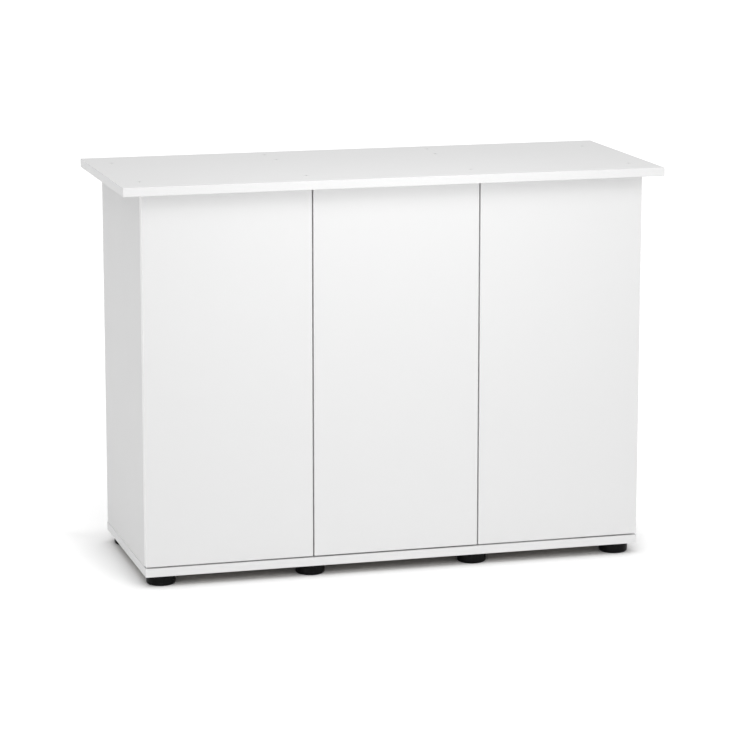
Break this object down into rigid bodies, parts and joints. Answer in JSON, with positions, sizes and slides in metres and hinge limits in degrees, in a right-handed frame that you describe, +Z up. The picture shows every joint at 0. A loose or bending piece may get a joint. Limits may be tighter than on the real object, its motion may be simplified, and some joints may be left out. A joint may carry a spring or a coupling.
{
  "type": "aquarium stand cabinet",
  "caption": "White boarded cabinet stand for a fish tank, with an overhanging top, full-height handleless doors on concealed hinges, adjustable shelves and round black feet.",
  "frame": {"origin": "on the floor, under the middle of the top plate", "axes": "+X to the right along the front, +Y from the doors to the back, +Z up"},
  "size_m": [1.01, 0.41, 0.733],
  "materials": {
    "white_board": "white melamine-faced board, satin",
    "foot_plastic": "black moulded plastic, slightly glossy",
    "hinge_steel": "nickel-plated pressed steel",
    "white_steel": "white-coated steel screws",
    "zinc_steel": "bright zinc-plated steel",
    "latch_housing_plastic": "light grey moulded plastic",
    "latch_plunger_plastic": "dark grey moulded plastic",
    "dowel_beech": "plain beech"
  },
  "bodies": {
    "carcass": {"top_plate": "white_board", "base_plate": "white_board", "side_panel_left": "white_board", "side_panel_right": "white_board", "divider_left": "white_board", "divider_right": "white_board", "back_panel": "white_board", "shelf_left": "white_board", "shelf_middle": "white_board", "shelf_pins": "zinc_steel", "foot_front_1": "foot_plastic", "foot_front_2": "foot_plastic", "foot_front_3": "foot_plastic", "foot_front_4": "foot_plastic", "foot_rear_1": "foot_plastic", "foot_rear_2": "foot_plastic", "foot_rear_3": "foot_plastic", "foot_rear_4": "foot_plastic", "foot_screws": "zinc_steel", "top_screws": "white_steel", "base_screws": "zinc_steel", "back_screws": "zinc_steel", "dowels": "dowel_beech", "arms_left": "hinge_steel", "arms_middle": "hinge_steel", "arms_right": "hinge_steel", "arm_pins": "zinc_steel", "hinge_plates_left": "hinge_steel", "hinge_plates_middle": "hinge_steel", "hinge_plates_right": "hinge_steel", "plate_screws": "zinc_steel", "latch_housing_left": "latch_housing_plastic", "latch_housing_middle": "latch_housing_plastic", "latch_housing_right": "latch_housing_plastic", "latch_screws": "zinc_steel"},
    "door_left": {"door_left": "white_board", "cups_left": "hinge_steel", "cup_pins_left": "zinc_steel", "cup_screws_left": "zinc_steel", "strike_left": "zinc_steel"},
    "inner_links_left": {"inner_links_left": "hinge_steel"},
    "outer_links_left": {"outer_links_left": "hinge_steel"},
    "latch_plunger_left": {"latch_plunger_left": "latch_plunger_plastic"},
    "door_middle": {"door_middle": "white_board", "cups_middle": "hinge_steel", "cup_pins_middle": "zinc_steel", "cup_screws_middle": "zinc_steel", "strike_middle": "zinc_steel"},
    "inner_links_middle": {"inner_links_middle": "hinge_steel"},
    "outer_links_middle": {"outer_links_middle": "hinge_steel"},
    "latch_plunger_middle": {"latch_plunger_middle": "latch_plunger_plastic"},
    "door_right": {"door_right": "white_board", "cups_right": "hinge_steel", "cup_pins_right": "zinc_steel", "cup_screws_right": "zinc_steel", "strike_right": "zinc_steel"},
    "inner_links_right": {"inner_links_right": "hinge_steel"},
    "outer_links_right": {"outer_links_right": "hinge_steel"},
    "latch_plunger_right": {"latch_plunger_right": "latch_plunger_plastic"}
  },
  "joints": [
    {"name": "door_left_swing", "type": "hinge", "parent": "inner_links_left", "child": "door_left", "pos_m": [-0.4593, -0.1711, 0.3765], "axis": [0, 0, -1], "range_deg": [0, 117.76]},
    {"name": "inner_links_left_turn", "type": "hinge", "parent": "carcass", "child": "inner_links_left", "pos_m": [-0.4346, -0.1547, 0.3765], "axis": [0, 0, 1], "range_deg": [0, 25.8]},
    {"name": "outer_links_left_turn", "type": "hinge", "parent": "carcass", "child": "outer_links_left", "pos_m": [-0.4437, -0.1733, 0.3765], "axis": [0, 0, 1], "range_deg": [0, 42.5]},
    {"name": "latch_left_travel", "type": "slide", "parent": "carcass", "child": "latch_plunger_left", "axis": [0, -1, 0], "range_m": [0, 0.0201]},
    {"name": "door_middle_swing", "type": "hinge", "parent": "inner_links_middle", "child": "door_middle", "pos_m": [0.14563, -0.1711, 0.3765], "axis": [0, 0, 1], "range_deg": [0, 117.76]},
    {"name": "inner_links_middle_turn", "type": "hinge", "parent": "carcass", "child": "inner_links_middle", "pos_m": [0.12093, -0.1547, 0.3765], "axis": [0, 0, -1], "range_deg": [0, 25.8]},
    {"name": "outer_links_middle_turn", "type": "hinge", "parent": "carcass", "child": "outer_links_middle", "pos_m": [0.13003, -0.1733, 0.3765], "axis": [0, 0, -1], "range_deg": [0, 42.5]},
    {"name": "latch_middle_travel", "type": "slide", "parent": "carcass", "child": "latch_plunger_middle", "axis": [0, -1, 0], "range_m": [0, 0.0201]},
    {"name": "door_right_swing", "type": "hinge", "parent": "inner_links_right", "child": "door_right", "pos_m": [0.4593, -0.1711, 0.3765], "axis": [0, 0, 1], "range_deg": [0, 117.76]},
    {"name": "inner_links_right_turn", "type": "hinge", "parent": "carcass", "child": "inner_links_right", "pos_m": [0.4346, -0.1547, 0.3765], "axis": [0, 0, -1], "range_deg": [0, 25.8]},
    {"name": "outer_links_right_turn", "type": "hinge", "parent": "carcass", "child": "outer_links_right", "pos_m": [0.4437, -0.1733, 0.3765], "axis": [0, 0, -1], "range_deg": [0, 42.5]},
    {"name": "latch_right_travel", "type": "slide", "parent": "carcass", "child": "latch_plunger_right", "axis": [0, -1, 0], "range_m": [0, 0.0201]}
  ],
  "couplings": [
    {"joint": "inner_links_left_turn", "follows": "door_left_swing", "ratio": 0.21875},
    {"joint": "outer_links_left_turn", "follows": "door_left_swing", "ratio": 0.36016},
    {"joint": "latch_left_travel", "follows": "door_left_swing", "m_per_rad": 0.009731},
    {"joint": "inner_links_middle_turn", "follows": "door_middle_swing", "ratio": 0.21875},
    {"joint": "outer_links_middle_turn", "follows": "door_middle_swing", "ratio": 0.36016},
    {"joint": "latch_middle_travel", "follows": "door_middle_swing", "m_per_rad": 0.009731},
    {"joint": "inner_links_right_turn", "follows": "door_right_swing", "ratio": 0.21875},
    {"joint": "outer_links_right_turn", "follows": "door_right_swing", "ratio": 0.36016},
    {"joint": "latch_right_travel", "follows": "door_right_swing", "m_per_rad": 0.009731}
  ]
}
